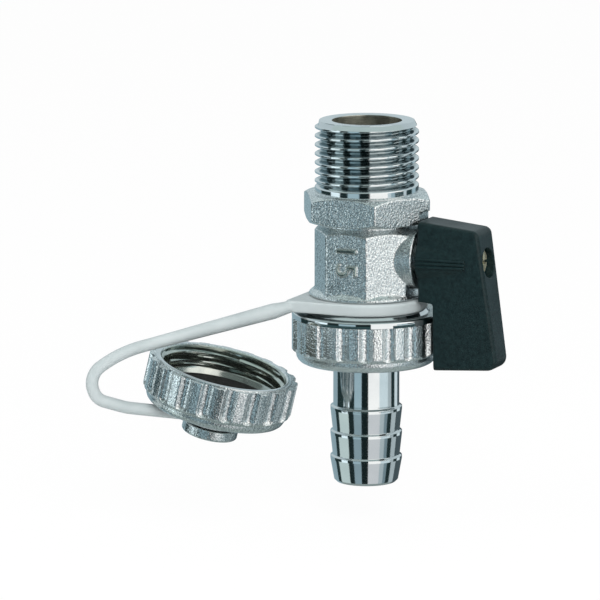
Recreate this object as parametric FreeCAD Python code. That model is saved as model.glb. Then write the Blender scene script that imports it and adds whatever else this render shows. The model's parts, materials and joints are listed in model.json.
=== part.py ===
import FreeCAD
import Part
import math
import os

# Drain cock: a ball valve with an inlet thread, a lever, a hose union and a tethered screw cap.
# Millimetres. The origin is the centre of the hexagon's top face, at the root of the inlet
# thread. +Z runs up the flow axis and +X along the stem, towards the lever. The valve is open.

V = FreeCAD.Vector

# Clearances
turning_gap = 0.05      # between faces that turn or slide on each other
thread_gap = 0.07       # radial, between plain cylinders that stand for a thread pair
passing_gap = 0.15      # radial, where one piece is threaded over another
overcut = 1.0           # how far a cutter runs past the face it opens

# Inlet thread and hexagon of the body
inlet_thread_r = 10.48
inlet_thread_length = 14.6
inlet_chamfer = 0.9
inlet_bore_r = 7.05
inlet_lip_chamfer = 0.4
hex_flats = 24.0
hex_height = 5.7
hex_corner_r = 13.75
hex_top_circle_r = 12.2
hex_bevel = 0.85

# Eight-sided middle of the body
body_half_width = 10.55
body_back_reach = 8.9
body_height = 12.7
body_edge_r = 0.8
waist_r = 9.5
waist_straight = 0.9
waist_flank_slope = 0.55
waist_corner_r = 0.4
collar_height = 2.55
collar_r = 11.6
collar_rim = 0.6
collar_root_r = 10.3
collar_slope_rise = 1.05
collar_fillet_r = 1.6

# Strap neck and outlet thread of the body
neck_r = 9.5
outlet_thread_r = 12.65
outlet_thread_length = 6.3
outlet_chamfer = 0.6
outlet_bore_r = 8.0

# Ball, seats and retainer
stem_drop = 12.7
ball_r = 7.4
flow_r = 5.0
seat_hole_r = 5.2
seat_back = 7.1
seat_height = 3.0
chamber_r = 7.55
inlet_shoulder = 1.6
retainer_height = 4.2
retainer_slot_width = 1.6
retainer_slot_depth = 1.2

# Stem, its boss on the body and its seals
boss_r = 6.3
boss_reach = 12.2
boss_rim_r = 0.3
stem_flange_r = 4.6
stem_flange_height = 0.9
stem_washer_height = 0.5
stem_r = 3.55
stem_square = 5.0
stem_square_reach = 20.0
tang_width = 6.0
tang_thickness = 2.0
tang_depth = 1.7
o_ring_section = 0.9
o_ring_room = 1.1
o_ring_land = 0.4
o_ring_groove_depth = 0.9

# Lever
handle_gap = 0.6
handle_head_half = 8.0
handle_top_reach = 25.6
handle_tip_reach = 29.8
handle_top_drop = 1.25
handle_length = 22.3
handle_tip_rise = 1.0
handle_blade_gap = 0.75
handle_step_drop = 8.3
handle_step_fall = 0.3
handle_top_thickness = 8.5
handle_tip_thickness = 6.4
handle_corner_r = 1.6
handle_tip_r = 2.2
handle_edge_r = 0.9
hub_proud = 0.2
hub_root_r = 5.3
hub_tip_r = 4.25
hub_length = 10.2
sweep_gap = 0.35
sweep_relief = 0.3

# Lever screw
screw_r = 1.5
screw_head_r = 2.7
screw_head_height = 1.6
screw_head_edge_r = 0.5
screw_length = 8.5
screw_slot_width = 0.7
screw_slot_depth = 0.7
screw_pocket_gap = 0.25
screw_web = 3.6

# Ribbed nut and cap
rib_count = 20
rib_r = 15.15
rib_length = 6.6
rib_shoulder = 0.5
rib_end_r = 0.5
flute_r = 1.55
flute_floor_r = 14.2
flute_overrun = 0.3
band_r = 14.25
nut_ring_r = 15.1
nut_ring_height = 1.3
nut_ring_chamfer = 0.4
nut_strap_gap = 0.6
nut_flange = 1.5
nut_bottom_r = 1.9
nut_flute_end_r = 0.5
nut_land_angle = -58.0

# Hose tail and its gasket
gasket_thickness = 1.5
gasket_hole_r = 6.0
tail_collar_r = 11.9
tail_collar_height = 1.8
tail_collar_edge = 0.3
tail_shank_r = 6.7
tail_root_fillet = 0.3
tail_length = 26.15
tail_end_r = 6.5
tail_end_chamfer = 0.5
barb_count = 3
barb_r = 7.27
barb_first = 10.55
barb_pitch = 5.1
barb_shoulder = 0.25
barb_land = 0.6
barb_root_r = 6.8

# Cap
cap_rim_r = 14.0
cap_rim_height = 0.3
cap_height = 9.35
cap_floor = 2.0
cap_bottom_r = 1.5
cap_flute_end_r = 1.2
cap_lip_chamfer = 0.35
cap_land_angle = 5.0
cap_gasket_thickness = 1.5
button_neck_r = 3.6
button_play = 0.2
button_head_r = 5.65
button_head_height = 2.1
button_edge_r = 0.5

# Strap: a ring, a round limb that swells out of it, bends down and back, and an eye for the cap's button
strap_ring_height = 2.55
strap_ring_wall = 2.8
strap_edge_r = 0.4
strap_r = 1.25
strap_web_height = 2.3
strap_web_reach = 16.5
strap_angle = 225.0
strap_eye_wall = 1.75
strap_eye_height = 2.3
strap_lean = 13.9       # tilt of the eye and the cap from upright, towards +X
limb_start = 13.0
limb_start_rise = 0.45
limb_start_r = 0.85
limb_swell = 20.2
limb_swell_r = 1.6
limb_reach = 59.5
limb_slim = limb_reach - 13.5
limb_run = [            # distance from the flow axis, rise from the middle of the ring, bend radius
    (limb_reach - 6.9, -7.025, 24.0),
    (limb_reach, -11.325, 3.9),
    (limb_reach - 1.8, -16.225, 3.6),
    (limb_reach - 8.0, -18.325, 12.0),
]
eye_reach = 33.15
eye_drop = 21.525

# Heights worked out from the sizes above
inlet_top_z = inlet_thread_length
hex_bottom_z = -hex_height
body_bottom_z = hex_bottom_z - body_height
collar_bottom_z = body_bottom_z - collar_height
neck_height = strap_ring_height + 2 * turning_gap
neck_bottom_z = collar_bottom_z - neck_height
outlet_end_z = neck_bottom_z - outlet_thread_length
ball_z = -stem_drop
seat_top_z = ball_z + seat_back
seat_bottom_z = ball_z - seat_back
gasket_top_z = outlet_end_z - turning_gap
tail_collar_top_z = gasket_top_z - gasket_thickness
tail_collar_bottom_z = tail_collar_top_z - tail_collar_height
nut_floor_z = tail_collar_bottom_z - turning_gap
nut_bottom_z = nut_floor_z - nut_flange
strap_ring_top_z = collar_bottom_z - turning_gap
strap_mid_z = strap_ring_top_z - strap_ring_height / 2
strap_ring_low_z = strap_ring_top_z - strap_ring_height
nut_top_z = strap_ring_low_z - nut_strap_gap

# Distances along the stem
flange_x = chamber_r + turning_gap
washer_x = flange_x + stem_flange_height
counterbore_x = washer_x + stem_washer_height
handle_x = boss_reach + handle_gap
hub_x = handle_x - hub_proud
socket_end_x = stem_square_reach + turning_gap
screw_seat_x = socket_end_x + screw_web

# Radii and lengths worked out from what they fit
stem_bore_r = stem_r + turning_gap
flange_bore_r = stem_flange_r + turning_gap
outlet_female_r = outlet_thread_r + thread_gap
strap_ring_r = neck_r + 2 * turning_gap
strap_ring_outer_r = strap_ring_r + strap_ring_wall
strap_eye_r = button_neck_r + passing_gap
button_neck_length = 2 * strap_r + 2 * button_play
handle_blade_inner = rib_r + handle_blade_gap
sweep_r = math.hypot(handle_step_drop, handle_top_thickness / 2) + sweep_gap
cap_axis = V(math.sin(math.radians(strap_lean)), 0, math.cos(math.radians(strap_lean)))


def rounded_edges(corners, closed):
    """Straight runs joined by tangent arcs; each corner is a point and its radius."""
    count = len(corners)
    stations = []
    for i, (point, radius) in enumerate(corners):
        at_end = not closed and i in (0, count - 1)
        if radius == 0 or at_end:
            stations.append((point, None, point))
            continue
        back = (corners[i - 1][0] - point).normalize()
        ahead = (corners[(i + 1) % count][0] - point).normalize()
        half_angle = back.getAngle(ahead) / 2
        inward = (back + ahead).normalize()
        reach = radius / math.tan(half_angle)
        crown = point + inward * (radius / math.sin(half_angle) - radius)
        stations.append((point + back * reach, crown, point + ahead * reach))
    edges = []
    for i, (start, crown, end) in enumerate(stations):
        if crown is not None:
            edges.append(Part.Arc(start, crown, end).toShape())
        following = stations[(i + 1) % count][0]
        at_end = not closed and i == count - 1
        if not at_end and (following - end).Length > 1e-7:
            edges.append(Part.makeLine(end, following))
    return edges


def outline(points, place):
    """A closed wire from (a, b) or (a, b, corner radius) points, set in space by place(a, b)."""
    corners = [(place(p[0], p[1]), p[2] if len(p) > 2 else 0) for p in points]
    return Part.Wire(rounded_edges(corners, closed=True))


def turned(profile):
    """A solid of revolution about Z from (radius, height) or (radius, height, corner radius)."""
    face = Part.Face(outline(profile, lambda r, z: V(r, 0, z)))
    return face.revolve(V(0, 0, 0), V(0, 0, 1), 360)


def prism(points, low_z, high_z):
    """An upright prism from plan points."""
    face = Part.Face(outline(points, lambda x, y: V(x, y, low_z)))
    return face.extrude(V(0, 0, high_z - low_z))


def ring(inner_r, outer_r, low, high):
    """A plain ring about Z."""
    return turned([(inner_r, low), (outer_r, low), (outer_r, high), (inner_r, high)])


def along_stem(shape):
    """Turns a piece made about Z so that its heights run along the stem axis."""
    return shape.rotated(V(0, 0, 0), V(0, 1, 0), 90).translated(V(0, 0, ball_z))


def stem_cylinder(radius, low_x, high_x):
    """A cylinder on the stem axis."""
    return along_stem(Part.makeCylinder(radius, high_x - low_x, V(0, 0, low_x)))


def stem_block(low_x, high_x, width_y, width_z):
    """A block centred on the stem axis."""
    corner = V(low_x, -width_y / 2, ball_z - width_z / 2)
    return Part.makeBox(high_x - low_x, width_y, width_z, corner)


def face_crossings(faces):
    """Plan corners of a prism given by its faces, each (direction in degrees, distance)."""
    corners = []
    for (a, near), (b, far) in zip(faces, faces[1:] + faces[:1]):
        a = math.radians(a)
        b = math.radians(b)
        spread = math.sin(b - a)
        x = (near * math.sin(b) - far * math.sin(a)) / spread
        y = (far * math.cos(a) - near * math.cos(b)) / spread
        corners.append((x, y))
    return corners


def body_plan():
    """The eight-sided plan of the body; its back face lies nearer."""
    faces = [(45 * i, body_half_width) for i in range(8)]
    faces[4] = (180, body_back_reach)
    return [(x, y, body_edge_r) for x, y in face_crossings(faces)]


def hexagon():
    """The spanner hexagon, with corners on the X axis, turned and bevelled at both ends."""
    plan = face_crossings([(30 + 60 * i, hex_flats / 2) for i in range(6)])
    blank = turned([
        (0, 0),
        (hex_top_circle_r, 0),
        (hex_corner_r, -hex_bevel),
        (hex_corner_r, hex_bottom_z + hex_bevel),
        (hex_top_circle_r, hex_bottom_z),
        (0, hex_bottom_z),
    ])
    return prism(plan, hex_bottom_z, 0).common(blank)


def inlet_spigot():
    """The inlet thread as a plain chamfered cylinder."""
    return turned([
        (0, hex_bottom_z),
        (inlet_thread_r, hex_bottom_z),
        (inlet_thread_r, inlet_top_z - inlet_chamfer),
        (inlet_thread_r - inlet_chamfer, inlet_top_z),
        (0, inlet_top_z),
    ])


def body_middle():
    """The eight-sided middle with a waist under the hexagon."""
    block = prism(body_plan(), collar_bottom_z + collar_rim, hex_bottom_z)
    outer_r = 2 * body_half_width
    waist_low_z = hex_bottom_z - waist_straight
    waist = turned([
        (outer_r, hex_bottom_z),
        (waist_r, hex_bottom_z, waist_corner_r),
        (waist_r, waist_low_z, waist_corner_r),
        (outer_r, waist_low_z - (outer_r - waist_r) * waist_flank_slope),
    ])
    return block.cut(waist)


def collar():
    """The round flared foot of the body, which the flats run into."""
    rim_top_z = collar_bottom_z + collar_rim
    return turned([
        (0, collar_bottom_z),
        (collar_r, collar_bottom_z),
        (collar_r, rim_top_z),
        (collar_root_r, rim_top_z + collar_slope_rise, collar_fillet_r),
        (collar_root_r, body_bottom_z),
        (0, body_bottom_z),
    ])


def outlet_spigot():
    """The strap neck and the outlet thread, a plain cylinder at the thread's pitch line."""
    return turned([
        (0, body_bottom_z),
        (neck_r, body_bottom_z),
        (neck_r, neck_bottom_z),
        (outlet_thread_r - outlet_chamfer, neck_bottom_z),
        (outlet_thread_r, neck_bottom_z - outlet_chamfer),
        (outlet_thread_r, outlet_end_z + outlet_chamfer),
        (outlet_thread_r - outlet_chamfer, outlet_end_z),
        (0, outlet_end_z),
    ])


def stem_boss():
    """The round boss that carries the stem."""
    return along_stem(turned([(0, 0), (boss_r, 0), (boss_r, boss_reach, boss_rim_r), (0, boss_reach)]))


def waterway():
    """Everything bored along the flow axis, as one cutter."""
    shoulder_z = seat_top_z + inlet_shoulder
    return turned([
        (0, inlet_top_z + overcut),
        (inlet_bore_r + inlet_lip_chamfer + overcut, inlet_top_z + overcut),
        (inlet_bore_r, inlet_top_z - inlet_lip_chamfer),
        (inlet_bore_r, shoulder_z),
        (seat_hole_r, shoulder_z),
        (seat_hole_r, seat_top_z),
        (chamber_r, seat_top_z),
        (chamber_r, seat_bottom_z),
        (outlet_bore_r, seat_bottom_z),
        (outlet_bore_r, outlet_end_z - overcut),
        (0, outlet_end_z - overcut),
    ])


def valve_body():
    body = hexagon()
    for piece in (inlet_spigot(), body_middle(), stem_boss(), collar(), outlet_spigot()):
        body = body.fuse(piece)
    body = body.cut(waterway())
    body = body.cut(stem_cylinder(flange_bore_r, 0, counterbore_x))
    body = body.cut(stem_cylinder(stem_bore_r, 0, boss_reach + overcut))
    relief_x = boss_reach + sweep_relief
    body = body.cut(stem_cylinder(sweep_r, relief_x, hex_corner_r + overcut))
    return body.removeSplitter()


def ball():
    slot_x = ball_r - tang_depth - turning_gap
    slot_width = tang_thickness + 2 * turning_gap
    shape = Part.makeSphere(ball_r, V(0, 0, ball_z))
    shape = shape.cut(Part.makeCylinder(flow_r, 2 * ball_r, V(0, 0, ball_z - ball_r)))
    return shape.cut(stem_block(slot_x, ball_r + overcut, 2 * ball_r, slot_width))


def seat(back_z, front_z):
    """A soft ring whose inner corner follows the ball."""
    blank = ring(seat_hole_r, chamber_r - turning_gap, min(back_z, front_z), max(back_z, front_z))
    return blank.cut(Part.makeSphere(ball_r + turning_gap, V(0, 0, ball_z)))


def inlet_seat():
    return seat(seat_top_z, seat_top_z - seat_height)


def outlet_seat():
    return seat(seat_bottom_z, seat_bottom_z + seat_height)


def seat_retainer():
    low_z = seat_bottom_z - retainer_height
    outer_r = outlet_bore_r - turning_gap
    slot = Part.makeBox(
        2 * outlet_bore_r,
        retainer_slot_width,
        retainer_slot_depth,
        V(-outlet_bore_r, -retainer_slot_width / 2, low_z),
    )
    return ring(seat_hole_r, outer_r, low_z, seat_bottom_z).cut(slot)


def o_ring_places():
    """Where the two stem seals lie along the stem, inner first."""
    first = counterbore_x + o_ring_land + o_ring_room / 2
    return [first, first + o_ring_room + o_ring_land]


def stem():
    tang = stem_block(ball_r - tang_depth, flange_x + stem_flange_height / 2, tang_width, tang_thickness)
    shape = stem_cylinder(stem_flange_r, flange_x, washer_x)
    shape = shape.fuse(stem_cylinder(stem_r, flange_x, hub_x))
    shape = shape.fuse(stem_block(flange_x, stem_square_reach, stem_square, stem_square))
    shape = shape.fuse(tang)
    for x in o_ring_places():
        low_x = x - o_ring_room / 2
        groove = ring(stem_r - o_ring_groove_depth, stem_r + overcut, low_x, low_x + o_ring_room)
        shape = shape.cut(along_stem(groove))
    screw_tip_x = screw_seat_x - screw_length
    shape = shape.cut(stem_cylinder(screw_r + turning_gap, screw_tip_x - turning_gap, screw_seat_x))
    return shape.removeSplitter()


def stem_o_ring(x):
    section_r = o_ring_section / 2
    floor_r = stem_r - o_ring_groove_depth
    centre_r = (floor_r + stem_bore_r) / 2
    return Part.makeTorus(centre_r, section_r, V(x, 0, ball_z), V(1, 0, 0))


def stem_o_ring_inner():
    return stem_o_ring(o_ring_places()[0])


def stem_o_ring_outer():
    return stem_o_ring(o_ring_places()[1])


def stem_washer():
    return along_stem(ring(stem_bore_r, stem_flange_r, washer_x + turning_gap, counterbore_x))


def handle_blade():
    """The flat of the lever: its side outline, thinning towards the tip, with rounded outer edges."""
    side = Part.Face(outline([
        (handle_x, handle_head_half),
        (handle_top_reach, handle_head_half - handle_top_drop, handle_corner_r),
        (handle_tip_reach, handle_tip_rise - handle_length, handle_tip_r),
        (handle_blade_inner, -handle_length),
        (handle_blade_inner, -handle_step_drop - handle_step_fall),
        (handle_x, -handle_step_drop),
    ], lambda x, drop: V(x, -handle_top_thickness, ball_z + drop)))
    slab = side.extrude(V(0, 2 * handle_top_thickness, 0))
    top = handle_top_thickness / 2
    tip = handle_tip_thickness / 2
    wedge = Part.Face(outline([
        (-top, handle_head_half),
        (top, handle_head_half),
        (tip, -handle_length),
        (-tip, -handle_length),
    ], lambda y, drop: V(0, y, ball_z + drop))).extrude(V(2 * handle_tip_reach, 0, 0))
    blade = slab.common(wedge)
    across = [e for e in blade.Edges if abs(e.tangentAt(e.FirstParameter).y) < 0.5]
    rim = [e for e in across if e.BoundBox.XMax > handle_blade_inner + turning_gap]
    return blade.makeFillet(handle_edge_r, rim)


def handle():
    hub = along_stem(Part.makeCone(hub_root_r, hub_tip_r, hub_length, V(0, 0, hub_x)))
    socket_width = stem_square + 2 * turning_gap
    shape = handle_blade().fuse(hub)
    shape = shape.cut(stem_block(hub_x - overcut, socket_end_x, socket_width, socket_width))
    shape = shape.cut(stem_cylinder(screw_r + passing_gap, hub_x, screw_seat_x + overcut))
    pocket_r = screw_head_r + screw_pocket_gap
    shape = shape.cut(stem_cylinder(pocket_r, screw_seat_x, handle_tip_reach + overcut))
    return shape.removeSplitter()


def handle_screw():
    head_top_x = screw_seat_x + screw_head_height
    body = turned([
        (0, screw_seat_x - screw_length),
        (screw_r, screw_seat_x - screw_length),
        (screw_r, screw_seat_x),
        (screw_head_r, screw_seat_x),
        (screw_head_r, head_top_x, screw_head_edge_r),
        (0, head_top_x),
    ])
    slot_x = head_top_x - screw_slot_depth
    screw = along_stem(body)
    screw = screw.cut(stem_block(slot_x, head_top_x + overcut, 2 * screw_head_r, screw_slot_width))
    return screw.cut(stem_block(slot_x, head_top_x + overcut, screw_slot_width, 2 * screw_head_r))


def grip_flutes(rib_top_z, open_z, land_angle, end_r):
    """The cutters of the round grooves between ribs, each with a rounded lower end, up to open_z."""
    low_z = rib_top_z - rib_length - flute_overrun
    cutter = turned([(0, low_z), (flute_r, low_z, end_r), (flute_r, open_z), (0, open_z)])
    cutter = cutter.translated(V(flute_floor_r + flute_r, 0, 0))
    pitch = 360 / rib_count
    first = land_angle + pitch / 2
    return [cutter.rotated(V(0, 0, 0), V(0, 0, 1), first + pitch * i) for i in range(rib_count)]


def grip_profile(rib_top_z, bottom_z, bottom_r):
    """The outside of a nut or a cap below its rim, before the flutes are cut."""
    rib_low_z = rib_top_z - rib_length
    return [
        (rib_r, rib_top_z),
        (rib_r, rib_low_z, rib_end_r),
        (band_r, rib_low_z - rib_shoulder),
        (band_r, bottom_z, bottom_r),
    ]


def union_nut():
    hole_r = barb_r + passing_gap
    rib_top_z = nut_top_z - nut_ring_height
    profile = [
        (outlet_female_r, nut_top_z),
        (nut_ring_r - nut_ring_chamfer, nut_top_z),
        (nut_ring_r, nut_top_z - nut_ring_chamfer),
        (nut_ring_r, rib_top_z),
    ]
    profile += grip_profile(rib_top_z, nut_bottom_z, nut_bottom_r)
    profile += [
        (hole_r, nut_bottom_z),
        (hole_r, nut_floor_z),
        (outlet_female_r, nut_floor_z),
    ]
    return turned(profile).cut(grip_flutes(rib_top_z, rib_top_z, nut_land_angle, nut_flute_end_r))


def tail_gasket():
    return ring(gasket_hole_r, tail_collar_r, tail_collar_top_z, gasket_top_z)


def hose_tail():
    profile = [
        (flow_r, tail_collar_top_z),
        (tail_collar_r - tail_collar_edge, tail_collar_top_z),
        (tail_collar_r, tail_collar_top_z - tail_collar_edge),
        (tail_collar_r, tail_collar_bottom_z),
        (tail_shank_r, tail_collar_bottom_z, tail_root_fillet),
    ]
    end_z = tail_collar_bottom_z - tail_length
    root_r = tail_shank_r
    for i in range(barb_count):
        crest_z = tail_collar_bottom_z - barb_first - barb_pitch * i
        profile.append((root_r, crest_z + barb_shoulder))
        profile.append((barb_r, crest_z))
        profile.append((barb_r, crest_z - barb_land))
        root_r = barb_root_r
    profile.append((tail_end_r, end_z + tail_end_chamfer))
    profile.append((tail_end_r - tail_end_chamfer, end_z))
    profile.append((flow_r, end_z))
    return turned(profile)


def cap_place():
    """Where the cap's mouth is: its button neck is centred in the strap's eye."""
    mouth = eye_centre() + cap_axis * (cap_height + button_neck_length / 2)
    return FreeCAD.Placement(mouth, FreeCAD.Rotation(V(0, 0, 1), cap_axis))


def placed_on_cap(shape):
    """Moves a piece made with the mouth's centre at the origin to where the cap hangs."""
    shape.Placement = cap_place().multiply(shape.Placement)
    return shape


def cap():
    rib_top_z = -cap_rim_height
    neck_end = -cap_height - button_neck_length
    head_end = neck_end - button_head_height
    profile = [(outlet_female_r + cap_lip_chamfer, 0), (cap_rim_r, 0), (cap_rim_r, rib_top_z)]
    profile += grip_profile(rib_top_z, -cap_height, cap_bottom_r)
    profile += [
        (button_neck_r, -cap_height),
        (button_neck_r, neck_end),
        (button_head_r, neck_end),
        (button_head_r, head_end, button_edge_r),
        (0, head_end),
        (0, cap_floor - cap_height),
        (outlet_female_r, cap_floor - cap_height),
        (outlet_female_r, -cap_lip_chamfer),
    ]
    flutes = grip_flutes(rib_top_z, overcut, cap_land_angle, cap_flute_end_r)
    return placed_on_cap(turned(profile).cut(flutes))


def cap_gasket():
    low_z = cap_floor - cap_height
    return placed_on_cap(ring(gasket_hole_r, tail_collar_r, low_z, low_z + cap_gasket_thickness))


def on_strap(distance, rise):
    """A point of the strap's upright plane, its rise measured from the middle of the ring."""
    angle = math.radians(strap_angle)
    return V(distance * math.cos(angle), distance * math.sin(angle), strap_mid_z + rise)


def eye_centre():
    """The middle of the strap's eye."""
    return on_strap(eye_reach, -eye_drop)


def strap_web():
    """The flat between ring and limb, along the two lines that touch both."""
    slant = math.asin((strap_ring_outer_r - limb_start_r) / strap_web_reach)
    side = math.pi / 2 - slant
    corners = [
        (strap_ring_outer_r * math.cos(side), strap_ring_outer_r * math.sin(side)),
        (strap_web_reach + limb_start_r * math.cos(side), limb_start_r * math.sin(side)),
    ]
    corners += [(x, -y) for x, y in reversed(corners)]
    low_z = strap_mid_z - strap_web_height / 2
    return prism(corners, low_z, low_z + strap_web_height).rotated(V(0, 0, 0), V(0, 0, 1), strap_angle)


def upper_run(distance):
    """A point of the limb's straight upper run."""
    bend_distance, bend_rise, _ = limb_run[0]
    slope = (bend_rise - limb_start_rise) / (bend_distance - limb_start)
    return on_strap(distance, limb_start_rise + slope * (distance - limb_start))


def limb_taper(start, end, start_r, end_r):
    """A round taper along the upper run, between two distances from the flow axis."""
    run = upper_run(end) - upper_run(start)
    return Part.makeCone(start_r, end_r, run.Length, upper_run(start), run)


def strap_limb():
    """The round limb: a swell out of the ring, a slow taper, and a round rod bent back to the eye."""
    swell = limb_taper(limb_start, limb_swell, limb_start_r, limb_swell_r)
    slimming = limb_taper(limb_swell, limb_slim, limb_swell_r, strap_r)
    start = upper_run(limb_slim)
    corners = [(start, 0)]
    corners += [(on_strap(distance, rise), radius) for distance, rise, radius in limb_run]
    corners.append((eye_centre(), 0))
    path = Part.Wire(rounded_edges(corners, closed=False))
    section = Part.Wire(Part.makeCircle(strap_r, start, corners[1][0] - start))
    rod = path.makePipeShell([section], True, False)
    return swell.fuse(slimming).fuse(rod)


def cap_strap():
    band = turned([
        (strap_ring_r - overcut, strap_ring_low_z),
        (strap_ring_outer_r, strap_ring_low_z, strap_edge_r),
        (strap_ring_outer_r, strap_ring_top_z, strap_edge_r),
        (strap_ring_r - overcut, strap_ring_top_z),
    ])
    eye_place = FreeCAD.Placement(eye_centre(), FreeCAD.Rotation(V(0, 0, 1), cap_axis))
    half = strap_eye_height / 2
    eye = Part.makeCylinder(strap_eye_r + strap_eye_wall, strap_eye_height, V(0, 0, -half))
    eye.Placement = eye_place.multiply(eye.Placement)
    eye_hole = Part.makeCylinder(strap_eye_r, 4 * strap_eye_height, V(0, 0, -2 * strap_eye_height))
    eye_hole.Placement = eye_place.multiply(eye_hole.Placement)
    hole_low_z = strap_ring_low_z - overcut
    neck_hole = Part.makeCylinder(strap_ring_r, strap_ring_height + 2 * overcut, V(0, 0, hole_low_z))
    strap = band.fuse(strap_web()).fuse(strap_limb()).fuse(eye)
    return strap.cut(neck_hole).cut(eye_hole).removeSplitter()


nodes = [
    valve_body,
    ball,
    inlet_seat,
    outlet_seat,
    seat_retainer,
    stem,
    stem_o_ring_inner,
    stem_o_ring_outer,
    stem_washer,
    handle,
    handle_screw,
    union_nut,
    tail_gasket,
    hose_tail,
    cap,
    cap_gasket,
    cap_strap,
]

os.makedirs("parts", exist_ok=True)
for make in nodes:
    shape = make()
    shape.exportStep(f"parts/{make.__name__}.step")
    print(make.__name__, len(shape.Solids), "solid", shape.isValid(), round(shape.Volume, 2))
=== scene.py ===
import json
import math

import bmesh
import bpy
import numpy as np
from mathutils import Matrix, Vector


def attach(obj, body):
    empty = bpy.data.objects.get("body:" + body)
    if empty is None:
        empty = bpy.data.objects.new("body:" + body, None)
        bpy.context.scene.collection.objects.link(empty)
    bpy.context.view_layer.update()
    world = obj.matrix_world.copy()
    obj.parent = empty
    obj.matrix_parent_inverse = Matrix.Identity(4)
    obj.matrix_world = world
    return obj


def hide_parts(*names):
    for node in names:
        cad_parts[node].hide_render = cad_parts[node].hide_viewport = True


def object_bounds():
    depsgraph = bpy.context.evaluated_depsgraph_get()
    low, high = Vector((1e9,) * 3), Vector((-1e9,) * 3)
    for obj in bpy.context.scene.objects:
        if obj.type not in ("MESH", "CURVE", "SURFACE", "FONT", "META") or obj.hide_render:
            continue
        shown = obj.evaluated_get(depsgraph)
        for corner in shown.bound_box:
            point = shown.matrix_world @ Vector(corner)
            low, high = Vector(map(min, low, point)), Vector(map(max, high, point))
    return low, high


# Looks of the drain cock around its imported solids.
# Lengths are millimetres and angles degrees unless a comment says otherwise; meshes are made in metres.

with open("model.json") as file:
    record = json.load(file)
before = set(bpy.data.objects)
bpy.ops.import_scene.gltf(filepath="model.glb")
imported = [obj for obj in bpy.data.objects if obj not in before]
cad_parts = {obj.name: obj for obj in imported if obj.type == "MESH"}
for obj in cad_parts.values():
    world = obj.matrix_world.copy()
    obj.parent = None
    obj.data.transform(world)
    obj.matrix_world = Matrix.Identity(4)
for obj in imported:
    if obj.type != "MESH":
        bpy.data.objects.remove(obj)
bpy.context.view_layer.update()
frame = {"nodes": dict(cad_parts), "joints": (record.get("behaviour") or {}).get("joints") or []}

MM = 0.001

# View of the photograph
IMAGE_SIZE = 600.0
PIXELS_PER_MM = 4.95
AXIS_PIXEL_X = 366.5
AIM_HEIGHT = -22.2
VIEW_AZIMUTH = 24.0
VIEW_ELEVATION = 10.4
CAMERA_DISTANCE = 1100.0
CAMERA_NEAR = 10.0

# Mesh fineness
ROUND_STEPS = 256
RIB_STEPS = 28
WALL_STEP = 0.25
TAIL_STEP = 0.6
THREAD_STEP = 0.1
ARC_STEPS = 5
MARK_STEPS = 6
RIDGE_STEPS = 16
VOXEL = 0.2
RELAX = 0.5
WELD = 1e-4
SAME_R = 0.01
CREASE_ANGLE = 40.0
NODE_CREASE_ANGLE = 30.0

# Radii of broken edges
FINE_EDGE = 0.1
EDGE = 0.15
SOFT_EDGE = 0.2
ROUND_EDGE = 0.3

# Margins of the zones that get another metal or painted shade
PAINT_MARGIN = 0.1
MOUTH_MARGIN = 0.2
FORGING_MARGIN = 0.3

# Pipe threads
PITCH = 1.814
THREAD_START_ANGLE = 100.0
THREAD_DEPTH = 1.162
THREAD_FLAT = 1 / 6
THREAD_EASE = 0.3
RUN_OUT_START = 1.0
RUN_OUT_LENGTH = 1.3
OUTLET_RUN_OUT = 0.5
FEMALE_RUN_OUT = 0.6

# Body
INLET_R = 10.48
INLET_TOP = 14.6
INLET_CHAMFER = 0.9
INLET_SHOULDER = INLET_TOP - INLET_CHAMFER
INLET_BORE_R = 7.05
INLET_WALL_R = INLET_BORE_R + 1.0  # between the bore and the thread
INLET_FOOT = -0.5
FORGING_TOP = 0.25
FORGING_BOTTOM = -22.3
NECK_R = 9.5
NECK_BOTTOM = -23.6
OUTLET_R = 12.65
OUTLET_END = -29.9
OUTLET_BORE_R = 8.0
OUTLET_CHAMFER = 0.6
OUTLET_FEMALE_R = 12.72
THREAD_WALL_R = OUTLET_FEMALE_R + 0.7  # just past the roots of the thread

# Size mark raised on the body
MARK_TEXT = "15"
MARK_FACE_Y = -10.55
MARK_HEIGHT = -12.5
MARK_SIZE = 6.4
MARK_SPACING = 1.25
MARK_RELIEF = 0.7

# Ribs and flutes, the same on the nut and the cap
RIB_COUNT = 20
RIB_R = 15.15
RIB_LENGTH = 6.6
RIB_SHOULDER = 0.5
RIB_TOP_EDGE = 0.12
RIB_LOW_EDGE = 0.6
BAND_R = 14.25
BAND_EDGE = 0.4
GRIP_WALL_R = BAND_R - 0.3  # between the thread and the outside
FLUTE_R = 1.55
FLUTE_FLOOR_R = 14.2
FLUTE_OVERRUN = 0.3
FLUTE_EDGE = 0.16

# Union nut
NUT_TOP = -24.15
NUT_RING_R = 15.1
NUT_RING_HEIGHT = 1.3
NUT_RING_ROUND = 0.5
NUT_SEAM_HEIGHT = 0.05
NUT_SEAM_DEPTH = 0.12
NUT_LEAD_IN = 0.4
NUT_FLOOR = -33.3
NUT_BOTTOM = -34.8
NUT_BOTTOM_R = 1.9
NUT_FLUTE_END_R = 0.5
NUT_FLUTE_GAP = 0.01
NUT_HOLE_R = 7.42
NUT_LAND_ANGLE = -58.0

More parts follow.
